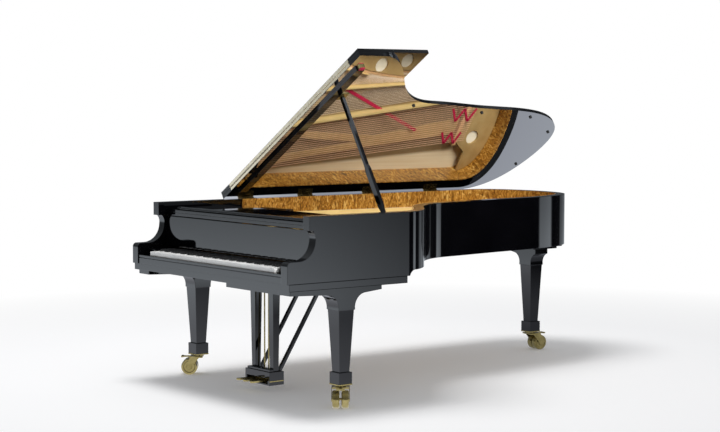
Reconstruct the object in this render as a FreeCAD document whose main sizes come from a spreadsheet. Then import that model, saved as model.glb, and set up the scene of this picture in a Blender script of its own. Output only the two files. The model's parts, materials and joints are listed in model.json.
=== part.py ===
"""Concert grand piano: laminated case, iron plate and strings, keyboard, lyre, folded-back lid and casters.

Millimetres, Z up. X runs from bass to treble and Y from the keyboard to the tail. Drawing places in Y are
counted from the front of the arms; the origin lies on the floor under the middle of the whole outline.
"""
import FreeCAD, Part
import math
import os
import re
import types

import Sketcher

V = FreeCAD.Vector

# Driving lengths
LENGTHS = {
    # case
    "case_width": 1530, "case_length": 2762, "side_run": 793, "rim_wall": 56, "veneer_wall": 5,
    "veneer_front": 714, "rim_top": 1012, "rim_foot": 699, "inner_rim_wall": 45, "foot_step": 800,
    "foot_scroll": 48,
    "keybed_foot": 632, "keybed_thickness": 37, "keybed_rear": 782, "keybed_setback": 12,
    # arms, seen from the side
    "arm_set": 139, "arm_block_height": 74, "scroll_throat": 37, "scroll_lip": 21, "scroll_drop": 125,
    "arm_shoulder": 70, "arm_height": 784, "arm_round": 22,
    # soundboard, plate and strings
    "soundboard_top": 850, "soundboard_thickness": 9, "belly_front": 702, "belly_rear": 738,
    "rib_depth": 22, "rib_width": 24, "plate_front": 560, "plate_web": 14, "plate_lip": 24, "plate_gap": 4,
    "plate_top": 907, "bar_height": 44, "rose_diameter": 96, "pinblock_thickness": 40,
    "agraffe_place": 770, "string_level": 918, "string_width": 2, "spread_inset": 69, "bass_lift": 12,
    "bridge_width": 30, "bridge_back": 70, "beam_width": 60, "beam_height": 90,
    "damper_place": 800, "damper_depth": 46, "damper_width": 9, "damper_height": 32, "damper_rise": 4,
    # keyboard
    "key_gap": 1, "key_front": 25, "key_head": 50, "key_top": 742, "key_body": 22,
    "key_pivot": 262, "sharp_width": 11, "sharp_height": 13, "sharp_rear": 176, "sharp_slope": 5,
    "sharp_room": 1.2, "block_front": 53, "block_rear": 186, "block_top": 752, "block_width": 90.4,
    "block_room": 5,
    "slip_front": 5, "slip_thickness": 16, "slip_top": 719, "slip_groove": 703,
    "groove_size": 3, "balance_rail": 8, "frame_board": 24,
    "frame_rear": 420, "front_rail_depth": 36, "front_rail_drop": 14, "hammer_place": 560,
    "hammer_height": 60, "hammer_depth": 26, "hammer_width": 9, "rail_depth": 40,
    # fallboard, rail, shelf and desk
    "fall_front": 195, "fall_thickness": 20, "fall_foot": 758, "fall_room": 5,
    "rail_height": 19, "shelf_drop": 55, "shelf_thickness": 15, "shelf_rear": 672, "desk_front": 208,
    "desk_rear": 560, "desk_inset": 89, "desk_thickness": 12, "desk_lip": 16, "desk_lip_height": 6,
    # lid and prop
    "lid_thickness": 22, "lid_gap": 8, "lid_overhang": 18, "fold_place": 630, "flap_length": 485,
    "fold_offset": 3.5, "fold_barrel": 3, "fold_leaf": 1.5, "fold_leaf_height": 20, "fold_room": 0.6,
    "batten_front": 680, "batten_width": 52, "batten_depth": 16, "batten_inset": 48,
    "hinge_length": 110, "hinge_leaf": 34, "hinge_plate": 2, "hinge_barrel": 3.6, "hinge_pin": 2,
    "bumper_diameter": 18, "bumper_height": 7, "bumper_inset": 30,
    "prop_gap": 29, "prop_base_y": 694, "prop_drop": 26, "prop_tip_inset": 391, "prop_tip_y": 769,
    "prop_width": 18, "prop_depth": 24, "prop_foot_depth": 40, "prop_foot_start": 42, "prop_foot_end": 300,
    "prop_slope": 30, "cup_size": 62, "cup_thickness": 4, "ear_thickness": 6, "ear_radius": 16, "prop_pin": 5,
    # legs and casters
    "leg_inset": 73, "leg_y": 393, "tail_leg_aside": 503, "tail_leg_inset": 129, "capital_edge": 34,
    "capital_tip": 24,
    "capital_fore": 363, "capital_aft": 230, "flare_width": 70, "ring_level": 520, "tail_capital_top": 655,
    "tail_capital_fore": 150, "tail_capital_aft": 95, "tail_flare_width": 42, "tail_ring_level": 555,
    "ring_size": 106, "ring_height": 8, "shaft_head": 98, "shaft_foot": 64, "collar_size": 84,
    "collar_top": 184, "collar_foot": 122, "plate_size": 86, "plate_drop": 6, "tail_block_width": 354,
    "tail_block_depth": 200, "tail_block_foot": 673, "tail_pad_inset": 47, "wheel_diameter": 94,
    "wheel_width": 38, "wheel_gap": 10, "wheel_trail": 50, "wheel_side_room": 1, "axle_diameter": 12,
    "fork_plate": 4, "fork_foot": 28, "fork_head": 46, "crown_height": 8, "swivel_diameter": 56,
    "swivel_height": 8, "brake_reach": 2, "brake_width": 14, "brake_pad": 44, "tread_round": 6,
    "hub_diameter": 34, "hub_recess": 4, "under_inset": 135, "under_length": 510, "under_front": 55,
    "under_rear": 300, "under_depth": 30,
    # lyre and pedals
    "lyre_width": 236, "lyre_front": 337, "lyre_depth": 96, "lyre_foot": 38, "lyre_height": 74,
    "lyre_wall": 16, "slot_foot": 46, "slot_top": 78, "post_place": 87, "post_head": 48, "post_tail": 34,
    "post_y": 390, "lyre_block": 30, "lyre_block_width": 260, "lyre_block_depth": 130, "brace_place": 88,
    "brace_size": 20, "brace_rear": 752, "pedal_spacing": 66, "rod_spacing": 40, "rod_y": 414,
    "rod_diameter": 8, "rod_room": 2, "rod_head_room": 6, "pedal_axle_y": 382, "pedal_axle_z": 62,
    "pedal_axle": 10, "pedal_thickness": 9, "pedal_reach": 92, "pedal_toe": 30, "pedal_neck": 16,
    "pedal_boss": 18, "pedal_tail": 40,
    # fits
    "seat_room": 0.3, "shaft_room": 0.05, "overrun": 20,
}

# Lengths that follow from the ones above
FOLLOWING = {
    "key_pitch": "(case_width - 2 * (rim_wall + block_width + block_room)) / 52",
    "string_spread": "case_width / 2 - rim_wall - spread_inset",
    "desk_width": "case_width - 2 * (rim_wall + desk_inset)",
    "batten_reach": "case_width - 2 * rim_wall - bumper_inset - batten_inset",
    "shelf_foot": "rim_top - shelf_drop",
    "rail_foot": "rim_top - shelf_drop - rail_height",
    "fall_top": "rim_top - shelf_drop - rail_height - fall_room",
    "prop_base_z": "rim_top - prop_drop",
    "prop_base_x": "case_width / 2 - rim_wall - prop_gap",
    "prop_tip_x": "case_width / 2 - prop_tip_inset",
    "leg_x": "case_width / 2 - leg_inset",
    "tail_leg_x": "tail_leg_aside - case_width / 2",
    "tail_leg_y": "case_length - tail_leg_inset",
    "under_right": "case_width / 2 - under_inset",
    "under_left": "case_width / 2 - under_inset - under_length",
}

# Angles in degrees, counts and shares
LID_ANGLE = 31.9
CASTER_TURNS = {"front_left": 232, "front_right": 322, "tail": 82}
WHITE_KEY_COUNT = 52
NOTE_COUNT = 88
BASS_NOTE_COUNT = 20
DAMPER_COUNT = 68
HINGE_SHARES = (0.262, 0.42, 0.60, 0.78)
RIB_COUNT = 9

# The case outline from the treble side round the bentside and tail to the bass side, as shares of half
# the case's width and of its length; the straight treble side ends at the side share and keeps its length
SIDE_SHARE = 0.287
OUTLINE_SHARES = (
    (1.0, 0.287), (0.944, 0.329), (0.80, 0.370), (0.638, 0.4045), (0.4575, 0.457), (0.380, 0.501),
    (0.349, 0.5595), (0.289, 0.685), (0.222, 0.847), (0.124, 0.924), (-0.065, 0.980), (-0.333, 1.0),
    (-0.601, 0.995), (-0.837, 0.971), (-0.961, 0.934), (-1.0, 0.890),
)

# Openings in the iron plate, as shares of half the width and of the length
PLATE_OPENING_SHARES = (
    ((-1.05, 0.33), (-0.83, 0.33), (-0.74, 0.44), (-0.665, 0.60), (-0.56, 0.845), (-0.73, 0.905),
     (-1.05, 0.90)),
    ((-0.765, 0.30), (-0.525, 0.30), (-0.575, 0.44), (-0.615, 0.585)),
    ((-0.465, 0.30), (-0.425, 0.30), (-0.235, 0.48), (-0.12, 0.60), (-0.115, 0.72), (-0.20, 0.86),
     (-0.40, 0.872), (-0.565, 0.625), (-0.52, 0.44)),
    ((-0.36, 0.30), (0.06, 0.30), (0.08, 0.40), (0.02, 0.455), (-0.15, 0.478)),
    ((0.12, 0.30), (0.60, 0.30), (0.56, 0.325), (0.30, 0.365), (0.15, 0.40)),
)

# Raised bars of the plate stand in a widened gap after these counts of notes, as wide as these shares of it
BAR_NOTE_COUNTS = (20, 36, 54, 70)
BAR_GAP_COUNT = 2
BAR_SHARES = (0.25, 0.75)
BAR_END_SHARES = (0.40, 0.60)
PLATE_ROSE_SHARES = ((0.075, 0.582), (0.06, 0.664), (-0.592, 0.918))

# The lines on which the strings end, as shares of half the width and of the length, lowest note first
HITCH_SHARES = (
    (-0.14, 0.875), (-0.05, 0.72), (-0.02, 0.60), (0.10, 0.47), (0.35, 0.385), (0.62, 0.335), (0.80, 0.315),
)
BASS_END_SHARES = ((-0.60, 0.885), (-0.22, 0.90))
BRIDGE_POINT_COUNT = 14
BEAM_SHARES = ((-0.70, 0.90), (-0.28, 0.955), (0.09, 0.66))
BUMPER_SHARES = ((0.25, 0.0), (0.45, 0.0), (0.60, 0.0), (0.72, 0.0), (0.86, 0.0))

doc = FreeCAD.newDocument("grand_piano")
sheet = doc.addObject("Spreadsheet::Sheet", "dims")
rows = {**LENGTHS, **{name: "=" + text for name, text in FOLLOWING.items()}}
for row, (name, value) in enumerate(rows.items(), 1):
    sheet.set(f"A{row}", name)
    sheet.set(f"B{row}", str(value))
    sheet.setAlias(f"B{row}", name)
doc.recompute()
d = types.SimpleNamespace(**{name: float(sheet.get(name)) for name in rows})

half = d.case_width / 2
FRONT = "(-(case_length + lid_overhang) / 2)"
front = -(d.case_length + d.lid_overhang) / 2
INSIDE = "(case_width / 2 - rim_wall)"
inside = half - d.rim_wall
keybed_top = d.keybed_foot + d.keybed_thickness
KEYBED_TOP = "(keybed_foot + keybed_thickness)"
nodes = []


def bound(text):
    """The text of an expression with every sheet name addressed to the sheet."""
    return re.sub(r"[a-z][a-z_]+", lambda word: "dims." + word.group(), text)


def measured(text):
    """The value of an expression written in sheet names."""
    return float(sheet.evalExpression(bound(text)))


def keep(obj, label):
    """Names a finished sub-part and adds it to those that are written."""
    obj.Label = label
    nodes.append(obj)
    return obj


def board(label, x, y, z):
    """A rectangular board between pairs of sheet expressions."""
    box = doc.addObject("Part::Box", label)
    for side, axis, (low, high) in (("Length", "x", x), ("Width", "y", y), ("Height", "z", z)):
        box.setExpression(side, bound(f"({high}) - ({low})"))
        shift = FRONT if axis == "y" else "0"
        box.setExpression(f"Placement.Base.{axis}", bound(f"({low}) + {shift}"))
    return keep(box, label)


def origin_plane(body, role):
    """One of a body's own origin planes."""
    return [part for part in body.Origin.OriginFeatures if part.Role == role][0]


def closed_sketch(body, role, corners):
    """A closed sketch of straight sides whose corners are bound to the sheet."""
    sketch = body.newObject("Sketcher::SketchObject", body.Name + "_sketch")
    sketch.AttachmentSupport = [(origin_plane(body, role), "")]
    sketch.MapMode = "FlatFace"
    places = [V(measured(a), measured(b), 0) for a, b in corners]
    count = len(corners)
    for index in range(count):
        sketch.addGeometry(Part.LineSegment(places[index], places[(index + 1) % count]), False)
    for index in range(count):
        sketch.addConstraint(Sketcher.Constraint("Coincident", index, 2, (index + 1) % count, 1))
        for kind, text, at in (("DistanceX", corners[index][0], places[index].x),
                               ("DistanceY", corners[index][1], places[index].y)):
            number = sketch.addConstraint(Sketcher.Constraint(kind, -1, 1, index, 1, at))
            sketch.setExpression(f"Constraints[{number}]", bound(text))
    return sketch


def profile(label, corners, x):
    """A body padded along X from a side view of Y and Z corners."""
    body = doc.addObject("PartDesign::Body", label)
    sketch = closed_sketch(body, "YZ_Plane", corners)
    sketch.setExpression("AttachmentOffset.Base.z", bound(x[0]))
    pad = body.newObject("PartDesign::Pad", label + "_pad")
    pad.Profile = sketch
    pad.setExpression("Length", bound(f"({x[1]}) - ({x[0]})"))
    body.setExpression("Placement.Base.y", bound(FRONT))
    return keep(body, label)


def nose(body, place, radius, x):
    """A round edge along X, added to a body about a Y and Z place."""
    edge = body.newObject("PartDesign::AdditiveCylinder", body.Name + "_nose")
    edge.AttachmentSupport = [(origin_plane(body, "YZ_Plane"), "")]
    edge.MapMode = "FlatFace"
    edge.setExpression("Radius", bound(radius))
    edge.setExpression("Height", bound(f"({x[1]}) - ({x[0]})"))
    for axis, text in zip("xyz", (*place, x[0])):
        edge.setExpression(f"AttachmentOffset.Base.{axis}", bound(text))


def feature(label, shape, placement=None):
    """A sub-part whose shape is worked out here, placed after its shape is set."""
    obj = doc.addObject("Part::Feature", label)
    obj.Shape = shape
    frame = placement or FreeCAD.Placement(V(0, front, 0), FreeCAD.Rotation())
    obj.Placement = frame.multiply(shape.Placement)
    return keep(obj, label)


def block(x, y, z):
    """A plain box between pairs of numbers."""
    return Part.makeBox(x[1] - x[0], y[1] - y[0], z[1] - z[0], V(x[0], y[0], z[0]))


def rod(start, end, radius):
    """A round rod between two points."""
    return Part.makeCylinder(radius, start.distanceToPoint(end), start, end - start)


def slab(points, low, high):
    """A flat piece with straight sides, from plan points, between two levels."""
    ring = [V(x, y, low) for x, y in points]
    return Part.Face(Part.makePolygon(ring + ring[:1])).extrude(V(0, 0, high - low))


def side_cut(edges, reach):
    """A cutter that runs across the whole case from a closed side view."""
    face = Part.Face(Part.Wire(edges))
    return face.extrude(V(2 * reach, 0, 0)).translated(V(-reach, 0, 0))


def squares(sections):
    """A solid of four ruled sides through square sections of (size, x, y, z)."""
    rings = []
    for size, x, y, z in sections:
        corner = size / 2
        signs = ((-1, -1), (1, -1), (1, 1), (-1, 1))
        ring = [V(x + a * corner, y + b * corner, z) for a, b in signs]
        rings.append(Part.makePolygon(ring + ring[:1]))
    return Part.makeLoft(rings, True, True)


def smooth_curve(points):
    """A smooth curve through plan points that leaves and arrives along Y, its parameter a running length."""
    runs = [0.0]
    for a, b in zip(points, points[1:]):
        runs.append(runs[-1] + a.distanceToPoint(b))
    curve = Part.BSplineCurve()
    curve.interpolate(Points=points, Parameters=runs, InitialTangent=V(0, 1, 0), FinalTangent=V(0, -1, 0),
                      Scale=False)
    return curve, runs


def case_edge(inset):
    """The case's curved edge from treble to bass, set in from the outside of the rim."""
    points = [place_of(share) for share in OUTLINE_SHARES]
    curve, runs = smooth_curve(points)
    moved = []
    for point, run in zip(points, runs):
        along = curve.tangent(run)[0]
        moved.append(point + V(-along.y, along.x, 0) * inset)
    return smooth_curve(moved)[0].toShape()


def case_face(inset, near):
    """The plan of the case, set in from the outside of the rim, from a place near the front to the tail."""
    edge = case_edge(inset)
    start = edge.valueAt(edge.FirstParameter)
    end = edge.valueAt(edge.LastParameter)
    treble = V(start.x, near, 0)
    bass = V(end.x, near, 0)
    sides = [Part.makeLine(treble, start), edge, Part.makeLine(end, bass), Part.makeLine(bass, treble)]
    return Part.Face(Part.Wire(sides))


def layer(inset, near, low, high):
    """A full layer of the case between two levels."""
    return case_face(inset, near).extrude(V(0, 0, high - low)).translated(V(0, 0, low))


def wall(inset, thickness, near, low, high):
    """A wall that follows the case outline, open at the front."""
    return layer(inset, near, low, high).cut(layer(inset + thickness, near - d.overrun, low, high))


def place_of(share):
    """A plan point from shares of half the width and of the length, the straight side's length kept."""
    way = (share[1] - SIDE_SHARE) / (1 - SIDE_SHARE)
    return V(share[0] * half, d.side_run + way * (d.case_length - d.side_run), 0)


def outer_rim():
    """The laminated rim with its scrolled arms and the step behind the keybed."""
    rim = wall(0, d.rim_wall, 0, keybed_top, d.rim_top)
    top = d.rim_top + d.overrun
    block_foot = d.rim_top - d.arm_block_height
    throat = V(0, d.arm_set + d.scroll_throat, d.rim_top - d.scroll_drop)
    lip = V(0, d.arm_set + d.scroll_lip, block_foot)
    shoulder = V(0, d.arm_shoulder, d.arm_height)
    sweep = V(0, shoulder.y + (throat.y - shoulder.y) * math.sin(math.pi / 4),
              throat.z - (throat.z - shoulder.z) * math.cos(math.pi / 4))
    upper = V(0, throat.y - (throat.y - lip.y) * (1 - math.cos(math.pi / 4)),
              throat.z + (lip.z - throat.z) * math.sin(math.pi / 4))
    nose = V(0, d.arm_round, d.arm_height)
    chin = V(0, 0, d.arm_height - d.arm_round)
    turn = d.arm_round * (1 - math.sin(math.pi / 4))
    corners = [chin, V(0, -d.overrun, chin.z), V(0, -d.overrun, top), V(0, d.arm_set, top),
               V(0, d.arm_set, block_foot), lip]
    edges = [Part.makeLine(a, b) for a, b in zip(corners, corners[1:])]
    edges.append(Part.Arc(lip, upper, throat).toShape())
    edges.append(Part.Arc(throat, sweep, shoulder).toShape())
    edges.append(Part.makeLine(shoulder, nose))
    edges.append(Part.Arc(nose, V(0, turn, d.arm_height - turn), chin).toShape())
    rim = rim.cut(side_cut(edges, d.case_width))
    rise = d.rim_foot - keybed_top
    low = V(0, d.foot_step, keybed_top)
    high = V(0, d.foot_step + d.foot_scroll, d.rim_foot)
    bend = V(0, low.y + d.foot_scroll * (1 - math.cos(math.pi / 4)), low.z + rise * math.sin(math.pi / 4))
    far = d.case_length + d.overrun
    under = keybed_top - d.overrun
    corners = [high, V(0, far, d.rim_foot), V(0, far, under), V(0, d.foot_step, under), low]
    edges = [Part.makeLine(a, b) for a, b in zip(corners, corners[1:])]
    edges.append(Part.Arc(low, bend, high).toShape())
    return rim.cut(side_cut(edges, d.case_width))


def build_case():
    """Rim, veneer, inner rim, keybed, belly rail, beams and the block over the tail leg."""
    feature("rim_outer", outer_rim())
    feature("rim_veneer", wall(d.rim_wall, d.veneer_wall, d.veneer_front, d.soundboard_top, d.rim_top))
    seat = d.soundboard_top - d.soundboard_thickness
    feature("rim_inner", wall(d.rim_wall, d.inner_rim_wall, d.belly_rear, d.rim_foot, seat))
    board("keybed", ("-case_width / 2", "case_width / 2"), ("keybed_setback", "keybed_rear"),
          ("keybed_foot", KEYBED_TOP))
    board("belly_rail", ("-" + INSIDE, INSIDE), ("belly_front", "belly_rear"),
          (KEYBED_TOP, "soundboard_top - soundboard_thickness"))
    beams = []
    for x, y in BEAM_SHARES:
        sides = (x * half - d.beam_width / 2, x * half + d.beam_width / 2)
        rise = (d.rim_foot, d.rim_foot + d.beam_height)
        beams.append(block(sides, (d.belly_rear, y * d.case_length), rise))
    feature("case_braces", Part.makeCompound(beams))
    sides = ("tail_leg_x - tail_block_width / 2", "tail_leg_x + tail_block_width / 2")
    ends = ("tail_leg_y - tail_block_depth / 2", "tail_leg_y + tail_block_depth / 2")
    board("tail_leg_block", sides, ends, ("tail_block_foot", "rim_foot"))
    board("tail_leg_pad", (sides[0], sides[1] + " - tail_pad_inset"), ends,
          ("tail_capital_top", "tail_block_foot"))
    board("under_box", ("under_left", "under_right"), ("under_front", "under_rear"),
          ("keybed_foot - under_depth", "keybed_foot"))


def plate_shape():
    """The iron plate: a holed web on a low lip, with raised bars over it."""
    inset = d.rim_wall + d.veneer_wall + d.plate_gap
    foot = d.plate_top - d.plate_web
    web = layer(inset, d.plate_front, foot, d.plate_top)
    for shares in PLATE_OPENING_SHARES:
        points = [(place_of(share).x, place_of(share).y) for share in shares]
        web = web.cut(slab(points, foot - d.overrun, d.plate_top + d.overrun))
    lip = wall(inset, d.plate_lip, d.belly_rear, d.soundboard_top, foot)
    lip = lip.common(block((0, half), (d.belly_rear, d.case_length), (0, d.rim_top)))
    web = web.fuse(lip)
    room = layer(inset, d.plate_front, foot, d.plate_top + d.bar_height)
    ends = string_ends()
    for note in BAR_NOTE_COUNTS:
        near, far = ends[note - 1], ends[note]
        low, high = (V(near[0].x, d.plate_front, 0), V(far[0].x, d.plate_front, 0))
        points = [low + (high - low) * share for share in BAR_SHARES]
        points += [near[0] + (far[0] - near[0]) * share for share in reversed(BAR_SHARES)]
        bar = slab([(p.x, p.y) for p in points], foot, d.plate_top + d.bar_height)
        points = [near[0] + (far[0] - near[0]) * share for share in BAR_SHARES]
        points += [near[1] + (far[1] - near[1]) * share for share in reversed(BAR_END_SHARES)]
        bar = bar.fuse(slab([(p.x, p.y) for p in points], foot, d.plate_top + d.bar_height))
        web = web.fuse(bar.common(room))
    for points, lift in bridge_lines():
        top = d.string_level + lift + d.string_width
        web = web.cut(ribbon(points, d.bridge_width + 2 * d.plate_gap, d.soundboard_top, top))
    for share in PLATE_ROSE_SHARES:
        centre = place_of(share) + V(0, 0, foot - d.overrun)
        web = web.cut(Part.makeCylinder(d.rose_diameter / 2, d.plate_web + 2 * d.overrun, centre))
    return web.removeSplitter()


def string_ends():
    """The front and rear ends of one string for each note, bass first, with wider gaps at the bars."""
    curve = Part.BSplineCurve()
    curve.interpolate([place_of(share) for share in HITCH_SHARES])
    hitch = curve.toShape()
    slots = [note + BAR_GAP_COUNT * sum(note >= bar for bar in BAR_NOTE_COUNTS) for note in range(NOTE_COUNT)]
    first, last = (place_of(share) for share in BASS_END_SHARES)
    ends = []
    for note, slot in enumerate(slots):
        x = d.string_spread * (2 * slot / slots[-1] - 1)
        if note < BASS_NOTE_COUNT:
            rear = first + (last - first) * (note / (BASS_NOTE_COUNT - 1))
            level = d.string_level + d.bass_lift
        else:
            way = (slot - slots[BASS_NOTE_COUNT]) / (slots[-1] - slots[BASS_NOTE_COUNT])
            rear = hitch.valueAt(hitch.getParameterByLength(hitch.Length * way))
            level = d.string_level
        ends.append((V(x, d.agraffe_place, level), V(rear.x, rear.y, level)))
    return ends


def bridge_lines():
    """The plan lines of the treble and the bass bridge across their strings, each with its lift."""
    ends = string_ends()
    lines = []
    for low, high, lift in ((BASS_NOTE_COUNT, NOTE_COUNT - 1, 0), (0, BASS_NOTE_COUNT - 1, d.bass_lift)):
        points = []
        for index in range(BRIDGE_POINT_COUNT):
            start, end = ends[low + round((high - low) * index / (BRIDGE_POINT_COUNT - 1))]
            along = (end - start).normalize()
            spot = end - along * d.bridge_back
            points.append(V(spot.x, spot.y, 0))
        tails = (points[0] - points[1], points[-1] - points[-2])
        points[0] = points[0] + tails[0].normalize() * d.bridge_width
        points[-1] = points[-1] + tails[1].normalize() * d.bridge_width
        lines.append((points, lift))
    return lines


def ribbon(points, width, low, high):
    """A flat band of even width along plan points, between two levels."""
    sides = ([], [])
    for index, point in enumerate(points):
        before = points[max(index - 1, 0)]
        after = points[min(index + 1, len(points) - 1)]
        along = (after - before).normalize()
        across = V(-along.y, along.x, 0) * (width / 2)
        sides[0].append(point + across)
        sides[1].append(point - across)
    ring = sides[0] + sides[1][::-1]
    return slab([(p.x, p.y) for p in ring], low, high)


def string_shape(start, end):
    """One string as a slim square bar."""
    across = V(start.y - end.y, end.x - start.x, 0).normalize() * (d.string_width / 2)
    points = [start - across, end - across, end + across, start + across]
    return slab([(p.x, p.y) for p in points], start.z - d.string_width / 2, start.z + d.string_width / 2)


def build_inside():
    """Soundboard, ribs, bridges, pinblock, plate, strings and dampers."""
    inset = d.rim_wall + d.inner_rim_wall
    under = d.soundboard_top - d.soundboard_thickness
    feature("soundboard", layer(d.rim_wall, d.belly_front, under, d.soundboard_top))
    ribs = []
    room = layer(inset, d.belly_rear, under - d.rib_depth, under)
    step = (d.case_length - d.belly_rear) / (RIB_COUNT + 1)
    for index in range(RIB_COUNT):
        y = d.belly_rear + step * (index + 1)
        rib = block((-half, half), (y - d.rib_width / 2, y + d.rib_width / 2), (under - d.rib_depth, under))
        ribs.extend(rib.common(room).Solids)
    feature("soundboard_ribs", Part.makeCompound(ribs))
    top = d.string_level - d.string_width / 2 - d.seat_room
    bridges = []
    for points, lift in bridge_lines():
        bridges.append(ribbon(points, d.bridge_width, d.soundboard_top, top + lift))
    feature("bridges", Part.makeCompound(bridges))
    board("pinblock", ("-" + INSIDE, INSIDE), ("plate_front", "belly_front - plate_gap"),
          ("plate_top - plate_web - pinblock_thickness", "plate_top - plate_web"))
    feature("iron_plate", plate_shape())
    ends = string_ends()
    feature("strings", Part.makeCompound([string_shape(*pair) for pair in ends]))
    dampers = []
    for start, end in ends[:DAMPER_COUNT]:
        along = (end - start).normalize()
        spot = start + along * ((d.damper_place - start.y) / along.y)
        low = spot.z + d.string_width / 2 + d.seat_room
        ends = [spot, spot + along * d.damper_depth]
        dampers.append(ribbon(ends, d.damper_width, low, low + d.damper_height))
    feature("dampers", Part.makeCompound(dampers))


def key_places():
    """The left edge of each white key, and whether a sharp stands at its right edge."""
    left = -d.key_pitch * WHITE_KEY_COUNT / 2
    whites = [left + d.key_pitch * index for index in range(WHITE_KEY_COUNT)]
    # The lowest white key is an A; B and E, the second and fifth of each seven, have no sharp above them
    sharps = [index % 7 not in (1, 4) for index in range(WHITE_KEY_COUNT - 1)] + [False]
    return whites, sharps


def build_keyboard():
    """Keys, key frame, hammers, key slip and the blocks at both ends."""
    whites, sharps = key_places()
    slot = d.sharp_width / 2 + d.sharp_room
    head = d.key_front + d.key_head
    foot = d.key_top - d.key_body
    naturals = []
    for index, edge in enumerate(whites):
        near = edge + d.key_gap / 2
        far = edge + d.key_pitch - d.key_gap / 2
        low = edge + slot if index and sharps[index - 1] else near
        high = edge + d.key_pitch - slot if sharps[index] else far
        points = [(near, d.key_front), (far, d.key_front), (far, head), (high, head), (high, d.key_pivot),
                  (low, d.key_pivot), (low, head), (near, head)]
        tidy = [p for at, p in enumerate(points) if p != points[at - 1]]
        naturals.append(slab(tidy, foot, d.key_top))
    feature("white_keys", Part.makeCompound(naturals))
    blacks = []
    crown = d.key_top + d.sharp_height
    front_y = head + d.sharp_room
    outline = [V(0, front_y, foot), V(0, d.key_pivot, foot), V(0, d.key_pivot, d.key_top),
               V(0, d.sharp_rear, d.key_top), V(0, d.sharp_rear, crown), V(0, front_y + d.sharp_slope, crown)]
    side = Part.Face(Part.makePolygon(outline + outline[:1]))
    for edge, sharp in zip(whites, sharps):
        if sharp:
            start = edge + d.key_pitch - d.sharp_width / 2
            blacks.append(side.extrude(V(d.sharp_width, 0, 0)).translated(V(start, 0, 0)))
    feature("black_keys", Part.makeCompound(blacks))
    deck = f"({KEYBED_TOP} + seat_room + frame_board)"
    rail = "(key_top - key_body - seat_room)"
    near_rail = "(key_pivot - balance_rail / 2)"
    far_rail = "(key_pivot + balance_rail / 2)"
    low_rail = "(key_top - key_body - front_rail_drop)"
    front_end = "(key_front + sharp_room + front_rail_depth)"
    profile("key_frame", [
        ("key_front + sharp_room", f"{KEYBED_TOP} + seat_room"), ("frame_rear", f"{KEYBED_TOP} + seat_room"),
        ("frame_rear", deck), (far_rail, deck), (far_rail, rail), (near_rail, rail), (near_rail, deck),
        (front_end, deck), (front_end, low_rail), ("key_front + sharp_room", low_rail),
    ], (f"-key_pitch * {WHITE_KEY_COUNT} / 2", f"key_pitch * {WHITE_KEY_COUNT} / 2"))
    deck_level = keybed_top + d.seat_room + d.frame_board
    action = [block((-d.string_spread, d.string_spread), (d.frame_rear - d.rail_depth, d.frame_rear),
                    (deck_level, d.key_top + d.hammer_height))]
    feature("action_rail", Part.makeCompound(action))
    ceiling = d.plate_top - d.plate_web - d.pinblock_thickness - d.overrun
    hammers = []
    for start, _ in string_ends():
        sides = (start.x - d.hammer_width / 2, start.x + d.hammer_width / 2)
        shank = block(sides, (d.frame_rear, d.hammer_place), (d.key_top, d.key_top + d.hammer_width))
        tip = d.key_top + d.hammer_height
        felt = block(sides, (d.hammer_place - d.hammer_depth, d.hammer_place), (d.key_top, min(tip, ceiling)))
        hammers.append(shank.fuse(felt).removeSplitter())
    feature("hammers", Part.makeCompound(hammers))
    slip_rear = "slip_front + slip_thickness"
    profile("key_slip", [
        ("slip_front", KEYBED_TOP), (slip_rear, KEYBED_TOP), (slip_rear, "slip_top"),
        ("slip_front", "slip_top"), ("slip_front", "slip_groove + groove_size"),
        ("slip_front + groove_size", "slip_groove + groove_size"),
        ("slip_front + groove_size", "slip_groove"), ("slip_front", "slip_groove"),
    ], ("-" + INSIDE, INSIDE))
    blocks = []
    edge = d.key_pitch * WHITE_KEY_COUNT / 2 + d.block_room
    for side in ((-inside, -edge), (edge, inside)):
        blocks.append(block(side, (d.block_front, d.block_rear), (keybed_top, d.block_top)))
    feature("key_blocks", Part.makeCompound(blocks))


def build_front():
    """Fallboard, lock rail, music shelf and the desk that lies on it."""
    reach = f"({INSIDE} - seat_room)"
    back = "(fall_front + fall_thickness)"
    bend = ("fall_front + fall_thickness / 2", "fall_foot + fall_thickness / 2")
    fall = profile("fallboard", [
        ("fall_front", bend[1]), (back, bend[1]), (back, "fall_top"), ("fall_front", "fall_top"),
    ], ("-" + reach, reach))
    nose(fall, bend, "fall_thickness / 2", ("-" + reach, reach))
    board("lock_rail", ("-" + INSIDE, INSIDE), ("fall_front", f"{back} + seat_room"),
          ("rail_foot", "shelf_foot"))
    shelf_top = "(shelf_foot + shelf_thickness)"
    board("music_shelf", ("-" + INSIDE, INSIDE), ("fall_front", "shelf_rear"), ("shelf_foot", shelf_top))
    foot = f"({shelf_top} + seat_room)"
    bend = ("desk_front + desk_thickness / 2", f"{foot} + desk_thickness / 2")
    lip_end = f"{bend[0]} + desk_lip"
    lip_top = f"{foot} + desk_thickness + desk_lip_height"
    desk = profile("music_desk", [
        (bend[0], foot), ("desk_rear", foot), ("desk_rear", f"{foot} + desk_thickness"),
        (lip_end, f"{foot} + desk_thickness"), (lip_end, lip_top), (bend[0], lip_top),
    ], ("-desk_width / 2", "desk_width / 2"))
    nose(desk, bend, "desk_thickness / 2", ("-desk_width / 2", "desk_width / 2"))


hinge_x = -half
hinge_z = d.rim_top + d.lid_gap / 2
lid_turn = FreeCAD.Rotation(V(0, 1, 0), -LID_ANGLE)
lid_frame = FreeCAD.Placement(V(hinge_x, front, hinge_z), lid_turn)
lid_foot = d.lid_gap / 2
lid_top = lid_foot + d.lid_thickness


def lid_plan(shape):
    """A shape drawn over the closed case, moved so that the lid's hinge line is its origin."""
    return shape.translated(V(-hinge_x, 0, 0))


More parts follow.
